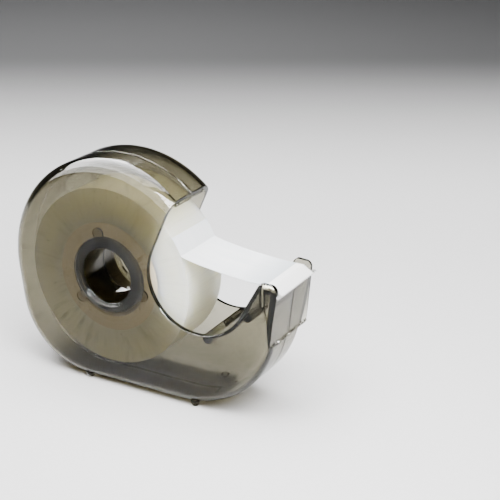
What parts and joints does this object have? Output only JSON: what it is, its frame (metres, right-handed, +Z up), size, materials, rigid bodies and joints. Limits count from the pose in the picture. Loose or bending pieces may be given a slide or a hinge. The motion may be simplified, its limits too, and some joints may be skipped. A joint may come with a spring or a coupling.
{
  "type": "tape dispenser",
  "caption": "Snail-shaped hand tape dispenser in smoke-tinted clear plastic, with a hollow hub, a toothed steel cutter on the nose and a loaded roll whose free end lies on the cutter.",
  "frame": {"origin": "centre of the finger hole through the hub, on the centre plane where the two halves meet", "axes": "+X towards the nose and cutter, +Y along the hub axis away from the pull-off half, +Z up"},
  "size_m": [0.0942, 0.0236, 0.0723],
  "materials": {
    "smoke_plastic": "polished, see-through smoke tint",
    "blade_steel": "bright strip, stamped teeth",
    "core_plastic": "satin",
    "tape_roll": "frosted film, many layers",
    "tape_film": "frosted film, one layer"
  },
  "bodies": {
    "far_half": {"far_shell": "smoke_plastic", "cutter_blade": "blade_steel", "tape_strip": "tape_film"},
    "near_half": {"near_shell": "smoke_plastic"},
    "roll": {"tape_core": "core_plastic", "wound_tape": "tape_roll"}
  },
  "joints": [
    {"name": "near_half_pull", "type": "slide", "parent": "far_half", "child": "near_half", "axis": [0, -1, 0], "range_m": [0, 0.03]},
    {"name": "roll_spin", "type": "hinge", "parent": "far_half", "child": "roll", "pos_m": [0, 0, -0.00065], "axis": [0, 1, 0], "continuous": true}
  ]
}
